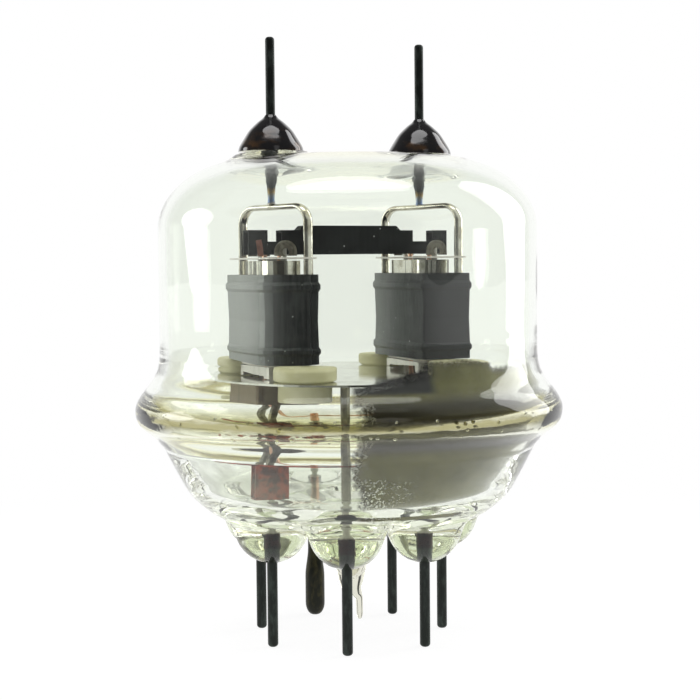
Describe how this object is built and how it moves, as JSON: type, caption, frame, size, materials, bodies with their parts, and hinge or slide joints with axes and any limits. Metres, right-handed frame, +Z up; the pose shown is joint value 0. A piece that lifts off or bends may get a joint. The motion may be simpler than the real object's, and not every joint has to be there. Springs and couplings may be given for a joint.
{
  "type": "vacuum tube",
  "caption": "All-glass transmitting tube that stands on a ring of base pins, with anode pins in dark caps on its flat crown and paired electrode cages inside.",
  "frame": {"origin": "centre of the circle of base pins, at the level of their tips", "axes": "+Z up through the crown; X through both anode pins; the thick index pin is on +Y"},
  "size_m": [0.057, 0.057, 0.0795],
  "materials": {
    "clear_glass": "clear blown glass, faint green",
    "oxidised_pin": "dark oxidised pin wire",
    "dark_cap": "dark, smooth, heat-tinted",
    "bright_nickel": "bright drawn nickel",
    "carbonised_sheet": "carbonised grey sheet",
    "black_shield": "black carbonised sheet",
    "mica": "thin clear mica",
    "cream_ceramic": "unglazed cream ceramic",
    "copper": "warm copper wire and ribbon",
    "cathode_coating": "white oxide coating",
    "heater_coating": "white insulating coating"
  },
  "bodies": {
    "root": {"anode_cap_left": "dark_cap", "anode_cap_right": "dark_cap", "anode_hoop_left": "bright_nickel", "anode_hoop_right": "bright_nickel", "anode_left": "carbonised_sheet", "anode_pin_left": "oxidised_pin", "anode_pin_right": "oxidised_pin", "anode_right": "carbonised_sheet", "base_pin_1": "oxidised_pin", "base_pin_2": "oxidised_pin", "base_pin_3": "oxidised_pin", "base_pin_4": "oxidised_pin", "base_pin_5": "oxidised_pin", "base_pin_6": "oxidised_pin", "beam_plates_left": "bright_nickel", "beam_plates_right": "bright_nickel", "bridge_shield": "black_shield", "capacitor_clip": "copper", "capacitor_mica": "mica", "cathode_left": "cathode_coating", "cathode_right": "cathode_coating", "cathode_tab": "copper", "ceramic_bushing_front_left": "cream_ceramic", "ceramic_bushing_front_right": "cream_ceramic", "ceramic_bushing_rear_left": "cream_ceramic", "ceramic_bushing_rear_right": "cream_ceramic", "control_grid_left": "copper", "control_grid_right": "copper", "front_link": "copper", "getter": "bright_nickel", "glass_base": "clear_glass", "glass_bulb": "clear_glass", "grid_lug_a_left": "bright_nickel", "grid_lug_a_right": "bright_nickel", "grid_lug_b_left": "bright_nickel", "grid_lug_b_right": "bright_nickel", "heater_left": "heater_coating", "heater_link": "copper", "heater_right": "heater_coating", "index_pin": "oxidised_pin", "lead_0": "copper", "lead_1": "bright_nickel", "lead_2": "bright_nickel", "lead_3": "bright_nickel", "lead_4": "bright_nickel", "lead_5": "bright_nickel", "lead_6": "bright_nickel", "lower_mica_left": "mica", "lower_mica_right": "mica", "screen_grid_left": "bright_nickel", "screen_grid_right": "bright_nickel", "shield_disc": "bright_nickel", "shield_lug": "bright_nickel", "unit_foot_left": "bright_nickel", "unit_foot_right": "bright_nickel", "unit_skirt_left": "bright_nickel", "unit_skirt_right": "bright_nickel", "upper_mica_left": "mica", "upper_mica_right": "mica"}
  },
  "joints": []
}
